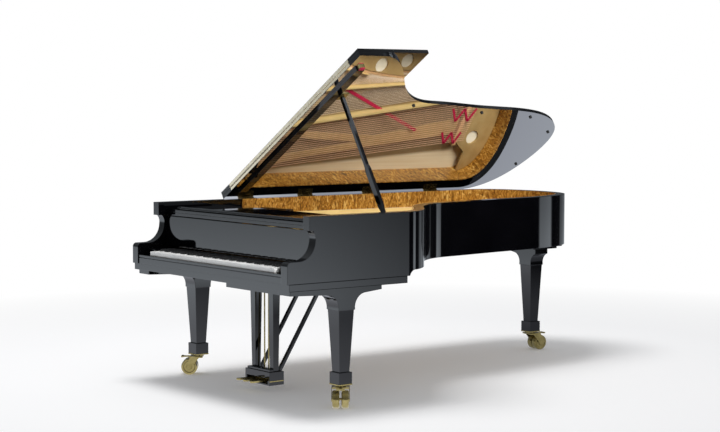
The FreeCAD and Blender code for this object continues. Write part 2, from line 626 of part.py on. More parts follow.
def folded(shape):
    """A shape drawn on the flap at its closed place, turned back over the lid about the fold."""
    centre = V(0, d.fold_place - d.fold_offset, lid_top + d.fold_room)
    return shape.rotated(centre, V(1, 0, 0), 180)


def build_lid():
    """Lid, folded flap with its long hinge, batten, bumpers, prop cup and the hinges to the case."""
    main = layer(-d.lid_overhang, d.fold_place, lid_foot, lid_top)
    feature("lid", lid_plan(main), lid_frame)
    reach = half + d.lid_overhang
    near = d.fold_place - 2 * d.fold_offset
    flap = block((-reach, reach), (near - d.flap_length, near), (lid_foot, lid_top))
    feature("lid_flap", lid_plan(folded(flap)), lid_frame)
    length = 2 * (inside - d.bumper_inset)
    ends = (-length / 2, length / 2)
    leaf = block(ends, (d.fold_place - d.fold_leaf, d.fold_place), (lid_top - d.fold_leaf_height, lid_top))
    axis = V(ends[0], d.fold_place - d.fold_offset, lid_top + d.fold_room)
    barrel = rod(axis, axis + V(length, 0, 0), d.fold_barrel)
    feature("flap_hinge", lid_plan(leaf.fuse(barrel)), lid_frame)
    rise = (lid_top - d.fold_leaf_height, lid_top - d.fold_barrel)
    other = block(ends, (near, near + d.fold_leaf), rise)
    feature("flap_leaf", lid_plan(folded(other)), lid_frame)
    start = -inside + d.bumper_inset
    batten = block((start, start + d.batten_reach), (d.batten_front, d.batten_front + d.batten_width),
                   (lid_foot - d.batten_depth, lid_foot))
    feature("lid_batten", lid_plan(batten), lid_frame)
    curve = case_edge(d.rim_wall / 2)
    span = curve.LastParameter - curve.FirstParameter
    bumpers = []
    for share, _ in BUMPER_SHARES:
        spot = curve.valueAt(curve.FirstParameter + span * share)
        foot = V(spot.x, spot.y, lid_foot - d.bumper_height)
        bumpers.append(Part.makeCylinder(d.bumper_diameter / 2, d.bumper_height, foot))
    feature("lid_bumpers", lid_plan(Part.makeCompound(bumpers)), lid_frame)
    cup = block((d.prop_tip_x - d.cup_size / 2, d.prop_tip_x + d.cup_size / 2),
                (d.prop_tip_y - d.cup_size / 2, d.prop_tip_y + d.cup_size / 2),
                (lid_foot - d.cup_thickness, lid_foot))
    feature("prop_cup", lid_plan(cup), lid_frame)
    case_leaves = []
    lid_leaves = []
    third = d.hinge_length / 3
    for share in HINGE_SHARES:
        y = share * d.case_length
        leaf = block((0, d.hinge_leaf), (y, y + d.hinge_length), (-lid_foot, -lid_foot + d.hinge_plate))
        middle = (y + third, y + 2 * third)
        leaf = leaf.cut(block((0, d.hinge_barrel + d.hinge_plate), middle, (-d.rim_top, d.rim_top)))
        for low in (y, y + 2 * third):
            leaf = leaf.fuse(rod(V(0, low, 0), V(0, low + third, 0), d.hinge_barrel))
        leaf = leaf.fuse(rod(V(0, y, 0), V(0, y + d.hinge_length, 0), d.hinge_pin))
        case_leaves.append(leaf.removeSplitter())
        low = y + third + d.seat_room
        high = y + 2 * third - d.seat_room
        leaf = block((0, d.hinge_leaf), (low, high), (lid_foot - d.hinge_plate, lid_foot))
        leaf = leaf.fuse(rod(V(0, low, 0), V(0, high, 0), d.hinge_barrel))
        bore = rod(V(0, y, 0), V(0, y + d.hinge_length, 0), d.hinge_pin + d.shaft_room)
        lid_leaves.append(leaf.cut(bore).removeSplitter())
    still = FreeCAD.Placement(V(hinge_x, front, hinge_z), FreeCAD.Rotation())
    feature("hinge_case_leaves", Part.makeCompound(case_leaves), still)
    feature("hinge_lid_leaves", Part.makeCompound(lid_leaves), lid_frame)


def prop_frame():
    """The prop's pivot frame: X along the fallen prop, Y along the pin, and how far and steep it stands."""
    turn = math.radians(LID_ANGLE)
    along = d.prop_tip_x - hinge_x
    drop = lid_foot - d.cup_thickness - d.seat_room
    tip = V(hinge_x + along * math.cos(turn) - drop * math.sin(turn), d.prop_tip_y,
            hinge_z + along * math.sin(turn) + drop * math.cos(turn))
    base = V(d.prop_base_x, d.prop_base_y, d.prop_base_z)
    reach = tip - base
    flat = math.hypot(reach.x, reach.y)
    skew = math.degrees(math.atan2(reach.y, reach.x))
    return base, skew, math.degrees(math.atan2(reach.z, flat)), reach.Length


def build_prop():
    """The long prop on its forked bracket inside the treble side."""
    base, skew, steep, length = prop_frame()
    turn = FreeCAD.Rotation(V(0, 0, 1), skew)
    frame = FreeCAD.Placement(base + V(0, front, 0), turn)
    wide = d.prop_width / 2
    thick = d.prop_depth / 2
    rise = math.radians(steep)
    upright = lid_turn.multVec(V(0, 0, 1))
    along = upright.dot(turn.multVec(V(math.cos(rise), 0, math.sin(rise))))
    across = abs(upright.dot(turn.multVec(V(-math.sin(rise), 0, math.cos(rise)))))
    aside = abs(upright.dot(turn.multVec(V(0, 1, 0))))
    trim = (thick * across + wide * aside + d.seat_room) / along
    stick = block((0, length - trim), (-wide, wide), (-thick, thick))
    deep = d.prop_foot_depth / 2
    rows = [(d.prop_foot_start, thick), (d.prop_foot_start + d.prop_slope, deep), (d.prop_foot_end, deep),
            (d.prop_foot_end + d.prop_slope, thick)]
    outline = [V(x, -wide, z) for x, z in rows] + [V(x, -wide, -z) for x, z in reversed(rows)]
    stick = stick.fuse(Part.Face(Part.makePolygon(outline + outline[:1])).extrude(V(0, 2 * wide, 0)))
    stick = stick.fuse(Part.makeCylinder(thick, 2 * wide, V(0, -wide, 0), V(0, 1, 0)))
    bore = Part.makeCylinder(d.prop_pin + d.shaft_room, 4 * wide, V(0, -2 * wide, 0), V(0, 1, 0))
    stick = stick.cut(bore).rotated(V(0, 0, 0), V(0, 1, 0), -steep)
    feature("lid_prop", stick.removeSplitter(), frame)
    outer = wide + d.seat_room + d.ear_thickness
    bracket = Part.makeCylinder(d.prop_pin, 2 * outer, V(0, -outer, 0), V(0, 1, 0))
    wall_gap = inside - d.prop_base_x
    for low in (-outer, wide + d.seat_room):
        ear = Part.makeCylinder(d.ear_radius, d.ear_thickness, V(0, low, 0), V(0, 1, 0))
        ear = ear.fuse(block((-wall_gap, 0), (low, low + d.ear_thickness), (-d.ear_radius, 0)))
        bracket = bracket.fuse(ear)
    bracket.Placement = FreeCAD.Placement(base, turn)
    plate = block((inside - d.ear_thickness, inside), (base.y - outer, base.y + outer),
                  (base.z - d.ear_radius, base.z))
    room = block((0, inside), (0, d.case_length), (0, d.rim_top))
    feature("prop_bracket", bracket.common(room).fuse(plate).removeSplitter())


def capital_shape(top, level, fore, aft, swell):
    """A capital drawn along X: a top plate that sweeps down on both sides to the ring, flat across Y."""
    edge = d.ring_size / 2
    rise = top - d.capital_edge - level
    lag = swell * (1 - math.cos(math.pi / 4))
    bend = level + rise * math.sin(math.pi / 4)
    heel = V(-edge, 0, level)
    toe = V(edge, 0, level)
    far = V(edge + swell, 0, level + rise)
    near = V(-far.x, 0, far.z)
    corners = [near, V(-fore, 0, top - d.capital_tip), V(-fore, 0, top), V(aft, 0, top),
               V(aft, 0, top - d.capital_tip), far]
    edges = [Part.Arc(heel, V(-edge - lag, 0, bend), near).toShape()]
    edges += [Part.makeLine(a, b) for a, b in zip(corners, corners[1:])]
    edges.append(Part.Arc(far, V(edge + lag, 0, bend), toe).toShape())
    edges.append(Part.makeLine(toe, heel))
    return Part.Face(Part.Wire(edges)).extrude(V(0, d.ring_size, 0)).translated(V(0, -edge, 0))


def leg_shape(x, y, level, capital):
    """A square leg: capital, ring, tapered shaft and collar."""
    capital.translate(V(x, y, 0))
    ring = squares([(d.ring_size, x, y, level), (d.ring_size, x, y, level - d.ring_height)])
    shaft = squares([(d.shaft_head, x, y, level - d.ring_height), (d.shaft_foot, x, y, d.collar_top)])
    collar = squares([(d.collar_size, x, y, d.collar_top), (d.collar_size, x, y, d.collar_foot)])
    return capital.fuse([ring, shaft, collar]).removeSplitter()


LEG_PLACES = {
    "front_left": (-d.leg_x, d.leg_y), "front_right": (d.leg_x, d.leg_y),
    "tail": (d.tail_leg_x, d.tail_leg_y),
}


def fork_shape():
    """A caster fork: swivel disc, crown, two arms, axle and brake lever, the wheels trailing along X."""
    top = d.collar_foot - d.plate_drop - d.seat_room
    low = top - d.swivel_height
    crown_foot = low - d.crown_height
    radius = d.wheel_diameter / 2
    hub = V(d.wheel_trail, 0, radius)
    side = d.wheel_gap / 2 + d.wheel_width + d.wheel_side_room
    outer = side + d.fork_plate
    disc = Part.makeCylinder(d.swivel_diameter / 2, d.swivel_height, V(0, 0, low))
    back = -d.swivel_diameter / 2
    pieces = [block((back, d.fork_head), (-outer, outer), (crown_foot, low))]
    boss = d.fork_foot / 2
    for start in (-outer, side):
        outline = [V(hub.x - boss, start, hub.z), V(hub.x + boss, start, hub.z), V(d.fork_head, start, low),
                   V(back / 2, start, low)]
        pieces.append(Part.Face(Part.makePolygon(outline + outline[:1])).extrude(V(0, d.fork_plate, 0)))
        pieces.append(Part.makeCylinder(boss, d.fork_plate, V(hub.x, start, hub.z), V(0, 1, 0)))
    pieces.append(rod(hub - V(0, outer, 0), hub + V(0, outer, 0), d.axle_diameter / 2))
    end = hub.x + radius + d.brake_reach
    pieces.append(block((0, end), (-d.brake_width / 2, d.brake_width / 2), (crown_foot, low)))
    pieces.append(block((end - d.brake_width, end), (-d.brake_pad / 2, d.brake_pad / 2), (crown_foot, low)))
    return disc.fuse(pieces).removeSplitter()


def wheel_shape():
    """The two wheels of a caster about their axle, with rounded treads and dished faces."""
    radius = d.wheel_diameter / 2
    bore = d.axle_diameter / 2 + d.shaft_room
    near = d.wheel_gap / 2
    far = near + d.wheel_width
    dish = far - d.hub_recess
    rows = [(bore, near), (radius - d.tread_round, near), (radius, near + d.tread_round),
            (radius, far - d.tread_round), (radius - d.tread_round, far), (radius - 2 * d.tread_round, far),
            (radius - 2 * d.tread_round - d.hub_recess, dish), (d.hub_diameter / 2, dish),
            (d.hub_diameter / 2 - d.hub_recess, far), (bore, far)]
    points = [V(r, w, 0) for r, w in rows]
    face = Part.Face(Part.makePolygon(points + points[:1]))
    wheel = face.revolve(V(0, 0, 0), V(0, 1, 0), 360)
    other = wheel.mirror(V(0, 0, 0), V(0, 1, 0))
    pair = Part.makeCompound([wheel, other])
    return pair.translated(V(d.wheel_trail, 0, radius))


def build_legs():
    """Three legs, their brass plates, and a swivelling twin-wheel caster under each."""
    plates = []
    plate_rise = (d.collar_foot - d.plate_drop, d.collar_foot)
    for name, (x, y) in LEG_PLACES.items():
        if name == "tail":
            level = d.tail_ring_level
            capital = capital_shape(d.tail_capital_top, level, d.tail_capital_fore, d.tail_capital_aft,
                                    d.tail_flare_width)
        else:
            level = d.ring_level
            capital = capital_shape(d.keybed_foot, level, d.capital_fore, d.capital_aft, d.flare_width)
            capital.rotate(V(0, 0, 0), V(0, 0, 1), 90)
        feature("leg_" + name, leg_shape(x, y, level, capital))
        edge = d.plate_size / 2
        plates.append(block((x - edge, x + edge), (y - edge, y + edge), plate_rise))
        turn = FreeCAD.Rotation(V(0, 0, 1), CASTER_TURNS[name])
        frame = FreeCAD.Placement(V(x, y + front, 0), turn)
        feature("caster_fork_" + name, fork_shape(), frame)
        feature("caster_wheels_" + name, wheel_shape(), frame)
    feature("leg_plates", Part.makeCompound(plates))


def pedal_shape(side):
    """A pedal: rounded toe, narrow neck, boss on the axle and a tail under its rod."""
    toe_x = side * d.pedal_spacing
    tail_x = side * d.rod_spacing
    low = d.pedal_axle_z - d.pedal_thickness / 2
    high = low + d.pedal_thickness
    tip = d.lyre_front - d.pedal_reach
    neck = d.pedal_neck / 2
    toe = d.pedal_toe / 2
    rear = d.pedal_axle_y + d.pedal_tail
    points = [(toe_x - toe, tip + toe), (toe_x - toe, tip + 2 * toe), (toe_x - neck, d.lyre_front),
              (toe_x - neck, d.pedal_axle_y), (tail_x - neck, rear), (tail_x + neck, rear),
              (toe_x + neck, d.pedal_axle_y), (toe_x + neck, d.lyre_front), (toe_x + toe, tip + 2 * toe),
              (toe_x + toe, tip + toe)]
    pedal = slab(points, low, high)
    pedal = pedal.fuse(Part.makeCylinder(toe, d.pedal_thickness, V(toe_x, tip + toe, low)))
    start = V(toe_x - neck, d.pedal_axle_y, d.pedal_axle_z)
    pedal = pedal.fuse(rod(start, start + V(2 * neck, 0, 0), d.pedal_boss / 2))
    bore = rod(start - V(toe, 0, 0), start + V(d.pedal_toe + 2 * neck, 0, 0), d.pedal_axle / 2 + d.shaft_room)
    return pedal.cut(bore).removeSplitter()


def build_lyre():
    """Lyre block, posts, pedal box, braces, axle, pedals and their rods."""
    rod_places = [side * d.rod_spacing for side in (-1, 0, 1)]
    top = d.lyre_foot + d.lyre_height
    rear = d.lyre_front + d.lyre_depth
    case = block((-d.lyre_width / 2, d.lyre_width / 2), (d.lyre_front, rear), (d.lyre_foot, top))
    room_x = d.lyre_width / 2 - d.lyre_wall
    case = case.cut(block((-room_x, room_x), (d.lyre_front - d.overrun, rear - d.lyre_wall / 2),
                          (d.slot_foot, d.slot_top)))
    upper = block((-d.lyre_block_width / 2, d.lyre_block_width / 2),
                  (d.post_y - d.lyre_block_depth / 2, d.post_y + d.lyre_block_depth / 2),
                  (d.keybed_foot - d.lyre_block, d.keybed_foot))
    for x in rod_places:
        radius = d.rod_diameter / 2 + d.rod_room
        case = case.cut(rod(V(x, d.rod_y, d.slot_foot + d.seat_room), V(x, d.rod_y, top + d.overrun), radius))
        low = V(x, d.rod_y, d.keybed_foot - d.lyre_block - d.overrun)
        hole = rod(low, V(x, d.rod_y, d.keybed_foot), radius)
        upper = upper.cut(hole)
    feature("pedal_box", case)
    feature("lyre_block", upper)
    posts = []
    braces = []
    for side in (-1, 1):
        x = side * d.post_place
        posts.append(squares([(d.post_tail, x, d.post_y, top),
                              (d.post_head, x, d.post_y, d.keybed_foot - d.lyre_block)]))
        x = side * d.brace_place
        low_y = rear - d.brace_size / 2
        braces.append(squares([(d.brace_size, x, low_y, top),
                               (d.brace_size, x, d.brace_rear, d.keybed_foot)]))
    feature("lyre_posts", Part.makeCompound(posts))
    feature("lyre_braces", Part.makeCompound(braces))
    start = V(-room_x + d.seat_room, d.pedal_axle_y, d.pedal_axle_z)
    feature("pedal_axle", rod(start, V(-start.x, start.y, start.z), d.pedal_axle / 2))
    for name, side in (("left", -1), ("middle", 0), ("right", 1)):
        feature("pedal_" + name, pedal_shape(side))
        foot = V(side * d.rod_spacing, d.rod_y, d.pedal_axle_z + d.pedal_thickness / 2 + d.seat_room)
        head = V(foot.x, foot.y, d.keybed_foot - d.rod_head_room)
        feature("pedal_rod_" + name, rod(foot, head, d.rod_diameter / 2))


build_case()
build_inside()
build_keyboard()
build_front()
build_lid()
build_prop()
build_legs()
build_lyre()
doc.recompute()

faults = [obj.Name for obj in doc.Objects if {"Invalid", "Error"} & set(obj.State)]
faults += [obj.Label for obj in nodes if obj.Shape.isNull() or not obj.Shape.isValid()]
if faults:
    raise RuntimeError("not built: " + ", ".join(faults))
os.makedirs("parts", exist_ok=True)
for obj in nodes:
    obj.Shape.exportStep(f"parts/{obj.Label}.step")
    print(obj.Label, len(obj.Shape.Solids), "solids", round(obj.Shape.Volume / 1e6, 3), "litres")
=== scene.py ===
import json
import math

import bpy
from mathutils import Matrix, Vector


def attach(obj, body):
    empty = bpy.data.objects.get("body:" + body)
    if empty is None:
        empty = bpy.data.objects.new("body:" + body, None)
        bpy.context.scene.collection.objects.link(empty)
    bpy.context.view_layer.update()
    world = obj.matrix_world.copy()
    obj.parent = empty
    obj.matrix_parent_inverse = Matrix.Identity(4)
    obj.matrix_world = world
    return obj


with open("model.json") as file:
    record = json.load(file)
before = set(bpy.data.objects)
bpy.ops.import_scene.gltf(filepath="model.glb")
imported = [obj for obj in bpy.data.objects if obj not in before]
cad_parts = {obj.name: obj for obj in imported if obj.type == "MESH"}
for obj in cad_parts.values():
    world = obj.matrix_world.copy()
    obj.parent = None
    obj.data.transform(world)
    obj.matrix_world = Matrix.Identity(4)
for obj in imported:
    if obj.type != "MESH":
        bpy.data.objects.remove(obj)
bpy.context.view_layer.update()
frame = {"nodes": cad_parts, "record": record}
scene = bpy.context.scene
record = frame["record"]

# Measures of the case in metres, as the CAD source has them
FRONT = -1.390
HALF_WIDTH = 0.765
CASE_LENGTH = 2.762
SIDE_RUN = 0.793
SIDE_SHARE = 0.287
PLATE_TOP = 0.907
HINGE_HEIGHT = 1.016
LID_ANGLE = math.radians(31.9)
LYRE_FRONT = 0.337 + FRONT
SIDES = (("bass", -1), ("treble", 1))

WHITE = (1.0, 1.0, 1.0)

# Nodes: short ways to make and join them


def feed(tree, value, socket):
    """Links a socket to another one, or sets a plain value on it."""
    if isinstance(value, bpy.types.NodeSocket):
        tree.links.new(value, socket)
    else:
        socket.default_value = value


def axes(tree, place):
    """The X, Y and Z of a place."""
    node = tree.nodes.new("ShaderNodeSeparateXYZ")
    feed(tree, place, node.inputs["Vector"])
    return node.outputs["X"], node.outputs["Y"], node.outputs["Z"]


def arithmetic(tree, operation, *values):
    """One step of arithmetic on sockets and plain numbers."""
    node = tree.nodes.new("ShaderNodeMath")
    node.operation = operation
    for value, socket in zip(values, node.inputs):
        feed(tree, value, socket)
    return node.outputs["Value"]


def spread(tree, value, start, end, first=0.0, last=1.0):
    """Maps a value from between two limits to between two others, and holds it there."""
    node = tree.nodes.new("ShaderNodeMapRange")
    limits = {"From Min": start, "From Max": end, "To Min": first, "To Max": last}
    for socket, limit in limits.items():
        node.inputs[socket].default_value = limit
    feed(tree, value, node.inputs["Value"])
    return node.outputs["Result"]


def noise(tree, place, scale, detail=3.0, distortion=0.0, stretch=None):
    """A noise value, its pattern stretched along an axis if asked."""
    node = tree.nodes.new("ShaderNodeTexNoise")
    node.inputs["Scale"].default_value = scale
    node.inputs["Detail"].default_value = detail
    node.inputs["Distortion"].default_value = distortion
    if stretch:
        mapping = tree.nodes.new("ShaderNodeMapping")
        mapping.inputs["Scale"].default_value = stretch
        feed(tree, place, mapping.inputs["Vector"])
        place = mapping.outputs["Vector"]
    feed(tree, place, node.inputs["Vector"])
    return node.outputs["Fac"]


def ramp(tree, value, stops):
    """A colour ramp over a value."""
    node = tree.nodes.new("ShaderNodeValToRGB")
    band = node.color_ramp
    while len(band.elements) < len(stops):
        band.elements.new(0.5)
    for element, (at, colour) in zip(band.elements, stops):
        element.position = at
        element.color = (*colour, 1.0)
    feed(tree, value, node.inputs["Fac"])
    return node.outputs["Color"]


def two_tone(tree, value, dark, light):
    """Two colours over the middle of a noise, where most of its values lie."""
    return ramp(tree, value, ((0.3, dark), (0.7, light)))


def blend(tree, factor, first, second, way="MIX"):
    """Mixes two colours."""
    node = tree.nodes.new("ShaderNodeMix")
    node.data_type = "RGBA"
    node.blend_type = way
    feed(tree, factor, node.inputs["Factor"])
    feed(tree, first, node.inputs["A"])
    feed(tree, second, node.inputs["B"])
    return node.outputs["Result"]


def choose(tree, factor, first, second):
    """The first shader where the factor is 0, and the second where it is 1."""
    node = tree.nodes.new("ShaderNodeMixShader")
    feed(tree, factor, node.inputs["Fac"])
    feed(tree, first, node.inputs[1])
    feed(tree, second, node.inputs[2])
    return node.outputs["Shader"]


def glow(tree, kind, colour, strength=1.0):
    """A shader that gives light: Background in a world, Emission in a material."""
    node = tree.nodes.new("ShaderNode" + kind)
    feed(tree, colour, node.inputs["Color"])
    feed(tree, strength, node.inputs["Strength"])
    return node.outputs[kind]


# Materials: every one is a small tree of procedural nodes


def tree_of(name):
    """A new material, its node tree, its surface shader and its object coordinates."""
    material = bpy.data.materials.new(name)
    material.use_nodes = True
    tree = material.node_tree
    shader = tree.nodes["Principled BSDF"]
    place = tree.nodes.new("ShaderNodeTexCoord")
    return material, tree, shader, place.outputs["Object"]


def rough(tree, shader, value, low, high):
    """Varies a shader's roughness between two limits."""
    feed(tree, spread(tree, value, 0.0, 1.0, low, high), shader.inputs["Roughness"])


def soft_edges(tree, shader, radius):
    """Lets light catch a small round on each sharp edge."""
    node = tree.nodes.new("ShaderNodeBevel")
    node.samples = 4
    node.inputs["Radius"].default_value = radius
    feed(tree, node.outputs["Normal"], shader.inputs["Normal"])


def plain(name, dark, light, scale, low, high, metallic=0.0, edge=0.0, specular=0.5, stretch=None):
    """A finish of two near colours and two near roughnesses over a noise."""
    material, tree, shader, place = tree_of(name)
    value = noise(tree, place, scale, stretch=stretch)
    feed(tree, two_tone(tree, value, dark, light), shader.inputs["Base Color"])
    rough(tree, shader, value, low, high)
    shader.inputs["Metallic"].default_value = metallic
    shader.inputs["Specular IOR Level"].default_value = specular
    if edge:
        soft_edges(tree, shader, edge)
    return material


def burl(name):
    """Figured wood: fine gold and brown fleck over slow cloudy shade, under a clear coat."""
    material, tree, shader, place = tree_of(name)
    fleck = noise(tree, place, 55.0, detail=5.0, distortion=1.4, stretch=(1.0, 1.0, 0.5))
    cloud = noise(tree, place, 5.0)
    colour = ramp(tree, fleck, (
        (0.32, (0.125, 0.040, 0.003)),
        (0.46, (0.390, 0.160, 0.018)),
        (0.56, (0.630, 0.305, 0.046)),
        (0.70, (0.900, 0.600, 0.180)),
    ))
    shade = ramp(tree, cloud, ((0.35, (0.72, 0.70, 0.68)), (0.65, WHITE)))
    feed(tree, blend(tree, 1.0, colour, shade, "MULTIPLY"), shader.inputs["Base Color"])
    rough(tree, shader, fleck, 0.25, 0.40)
    shader.inputs["Coat Weight"].default_value = 0.35
    shader.inputs["Coat Roughness"].default_value = 0.08
    return material


# Long fine grain along Y
GRAIN = (12.0, 0.4, 4.0)
# The painted shadow under the strings, in place of the shade that the strings and bars cast on the board: the
# share of Y that is added to X so that its edges lean, the span that this sum is measured over, its edges as
# shares of that span, its tint, and the Y where it ends at the tail
PAINTED_SHADOW_LEAN = -0.0757
PAINTED_SHADOW_SPAN = (-0.70, 0.10)
PAINTED_SHADOW_BASS_EDGE = (0.052, 0.078)
PAINTED_SHADOW_TREBLE_EDGE = (0.86, 0.90)
PAINTED_SHADOW_TINT = (0.33, 0.27, 0.20)
PAINTED_SHADOW_TAIL = (1.10, 1.03)


def board(name):
    """Spruce with long fine grain, with a painted shadow where the strings lie over it and its own pale colour
    along the spine and tail.
    """
    material, tree, shader, place = tree_of(name)
    grain = noise(tree, place, 6.0, stretch=GRAIN)
    colour = two_tone(tree, grain, (0.84, 0.68, 0.42), (0.90, 0.77, 0.52))
    x, y, _ = axes(tree, place)
    across = spread(tree, arithmetic(tree, "MULTIPLY_ADD", y, PAINTED_SHADOW_LEAN, x), *PAINTED_SHADOW_SPAN)
    bass_pale, bass_dim = PAINTED_SHADOW_BASS_EDGE
    treble_dim, treble_pale = PAINTED_SHADOW_TREBLE_EDGE
    # Painted shadow: the grain colour is multiplied by a dark tint across the middle of the board, where the
    # strings would shade it
    shade = ramp(tree, across, (
        (0.0, WHITE), (bass_pale, WHITE), (bass_dim, PAINTED_SHADOW_TINT),
        (treble_dim, PAINTED_SHADOW_TINT), (treble_pale, WHITE),
    ))
    here = spread(tree, y, *PAINTED_SHADOW_TAIL)
    feed(tree, blend(tree, here, colour, shade, "MULTIPLY"), shader.inputs["Base Color"])
    rough(tree, shader, grain, 0.35, 0.5)
    return material


# The height at which the lower strings end and the raised bass strings start
BASS_STRINGS = (0.9235, 0.9245)
# The height at which the plate's web ends and its bars start, where the painted shade turns to the painted
# highlight
PLATE_BARS = (0.912, 0.916)


def wound(name):
    """String metal: copper on the raised bass strings, steel on the rest."""
    material, tree, shader, place = tree_of(name)
    raised = spread(tree, axes(tree, place)[2], *BASS_STRINGS)
    colour = ramp(tree, raised, ((0.0, (0.92, 0.73, 0.52)), (1.0, (0.92, 0.56, 0.35))))
    feed(tree, colour, shader.inputs["Base Color"])
    rough(tree, shader, noise(tree, place, 30.0), 0.25, 0.4)
    shader.inputs["Metallic"].default_value = 0.25
    return material


def gilt(name):
    """Gold paint on iron, one paint throughout: painted shade makes it dull on the low web, and a painted
    highlight makes it brighter on the raised bars.
    """
    material, tree, shader, place = tree_of(name)
    value = noise(tree, place, 14.0)
    # Painted light: the same gold as a shaded copy for the web and a lit copy for the bars, split by height
    web = two_tone(tree, value, (0.46, 0.30, 0.11), (0.56, 0.385, 0.155))
    bars = two_tone(tree, value, (0.72, 0.52, 0.20), (0.82, 0.61, 0.26))
    raised = spread(tree, axes(tree, place)[2], *PLATE_BARS)
    feed(tree, blend(tree, raised, web, bars), shader.inputs["Base Color"])
    rough(tree, shader, value, 0.35, 0.45)
    shader.inputs["Metallic"].default_value = 0.25
    soft_edges(tree, shader, 0.003)
    return material


JET = (0.0008, 0.0008, 0.0012)
JET_LIGHT = (0.0014, 0.0014, 0.0019)


def mirror(name, index):
    """Lacquer that mirrors strongly, as the lid does over the lit inside."""
    material = plain(name, JET, JET_LIGHT, 4.0, 0.02, 0.03)
    material.node_tree.nodes["Principled BSDF"].inputs["IOR"].default_value = index
    return material


BLACK = plain("black_lacquer", JET, JET_LIGHT, 4.0, 0.025, 0.045, edge=0.004, specular=0.55)
BURL = burl("burl_veneer")
SPRUCE = board("spruce")
# Spruce painted lighter, as if lit, for the discs that stand in for the board seen through the plate's holes
PAINTED_LIT_SPRUCE = plain("painted_lit_spruce", (0.86, 0.77, 0.55), (0.92, 0.84, 0.65), 6.0, 0.4, 0.55, stretch=GRAIN)
MAPLE = plain("maple", (0.44, 0.25, 0.11), (0.58, 0.35, 0.16), 8.0, 0.4, 0.55, stretch=(0.6, 8.0, 8.0))
GOLD = gilt("gold_iron")
WIRE = wound("steel_wire")
BRASS = plain("brass", (0.29, 0.23, 0.08), (0.44, 0.36, 0.15), 25.0, 0.14, 0.26, metallic=0.85, edge=0.0012)
DARK_BRASS = plain("dark_brass", (0.17, 0.11, 0.032), (0.28, 0.20, 0.07), 25.0, 0.2, 0.3,
                   metallic=0.9, edge=0.0012)
PALE_BRASS = plain("pale_brass", (0.74, 0.64, 0.46), (0.82, 0.73, 0.56), 25.0, 0.22, 0.32, metallic=1.0)
IVORY = plain("key_white", (0.80, 0.80, 0.79), (0.86, 0.86, 0.85), 20.0, 0.18, 0.25, edge=0.0008)
EBONY = plain("key_black", (0.012, 0.012, 0.013), (0.02, 0.02, 0.021), 40.0, 0.25, 0.35, edge=0.001)
FELT = plain("felt", (0.62, 0.58, 0.50), (0.74, 0.70, 0.62), 60.0, 0.85, 0.95)
RUBBER = plain("rubber", (0.02, 0.02, 0.02), (0.03, 0.03, 0.03), 60.0, 0.6, 0.7)
LID_MIRROR = mirror("lid_lacquer", 16.0)
FLAP_MIRROR = mirror("flap_lacquer", 4.5)
RED = plain("red_felt", (0.34, 0.009, 0.036), (0.52, 0.022, 0.068), 80.0, 0.85, 0.95)
# Matte near-black for strips at the case's seams: the seams are real, and their darkness is painted shade for
# the shadow held in each seam and step
PAINTED_SHADE_STRIP = plain("painted_joint_shade", (0.001, 0.001, 0.001), (0.002, 0.002, 0.002), 20.0, 0.9, 0.95, specular=0.0)
STEEL = plain("pin_steel", (0.50, 0.50, 0.51), (0.64, 0.64, 0.66), 40.0, 0.2, 0.3, metallic=1.0)

# The finish of each material slot in the record, and of the nodes that differ from their slot
FINISHES = {
    "black_lacquer": BLACK, "burl_veneer": BURL, "spruce": SPRUCE, "maple": MAPLE, "gold_iron": GOLD,
    "steel_wire": WIRE, "brass": BRASS, "key_white": IVORY, "key_black": EBONY, "felt": FELT, "rubber": RUBBER,
}
SPECIAL = {
    "flap_hinge": PALE_BRASS, "flap_leaf": PALE_BRASS,
    "hinge_case_leaves": DARK_BRASS, "hinge_lid_leaves": DARK_BRASS,
}
# Where the lid's underside looks at rest, and how near to that a face has to look to be a mirror
DOWN = Vector((math.sin(LID_ANGLE), 0.0, -math.cos(LID_ANGLE)))
MIRROR_LIMIT = 0.95


def dress_nodes():
    """Gives each CAD node its material, and the lid and the flap a mirror on their lower faces."""
    slots = {part["node"]: part["material_slot"] for part in record["subparts"]}
    for name, node in frame["nodes"].items():
        node.data.materials.clear()
        node.data.materials.append(SPECIAL.get(name, FINISHES[slots[name]]))
    for name, material in (("lid", LID_MIRROR), ("lid_flap", FLAP_MIRROR)):
        node = frame["nodes"][name]
        node.data.materials.append(material)
        for face in node.data.polygons:
            looks = (node.matrix_world.to_3x3() @ face.normal).normalized()
            face.material_index = 1 if looks.dot(DOWN) > MIRROR_LIMIT else 0


# Small pieces: pins, studs, felts, trim, joint lines of painted shade and the lid's catch

BOX_FACES = [(0, 3, 2, 1), (4, 5, 6, 7), (0, 1, 5, 4), (1, 2, 6, 5), (2, 3, 7, 6), (3, 0, 4, 7)]


def solid(name, shape, material, body):
    """A mesh piece that rides on a body."""
    verts, faces = shape
    mesh = bpy.data.meshes.new(name)
    mesh.from_pydata(verts, [], faces)
    mesh.update()
    mesh.materials.append(material)
    piece = bpy.data.objects.new(name, mesh)
    scene.collection.objects.link(piece)
    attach(piece, body)
    return piece


def pegs(spots, radius, levels, sides=8):
    """Upright round pegs at plan spots between two levels, as one mesh."""
    verts = []
    faces = []
    for x, y in spots:
        base = len(verts)
        for z in levels:
            for side in range(sides):
                angle = 2 * math.pi * side / sides
                verts.append((x + radius * math.cos(angle), y + radius * math.sin(angle), z))
        for side in range(sides):
            far = (side + 1) % sides
            faces.append((base + side, base + far, base + sides + far, base + sides + side))
        faces.append(tuple(base + sides + side for side in range(sides)))
        faces.append(tuple(base + side for side in reversed(range(sides))))
    return verts, faces


def strip(start, end, width, levels):
    """A flat straight strip between two plan points."""
    start, end = Vector(start), Vector(end)
    along = (end - start).normalized()
    aside = Vector((-along.y, along.x)) * width / 2
    plan = [start - aside, end - aside, end + aside, start + aside]
    return [(p.x, p.y, z) for z in levels for p in plan], BOX_FACES


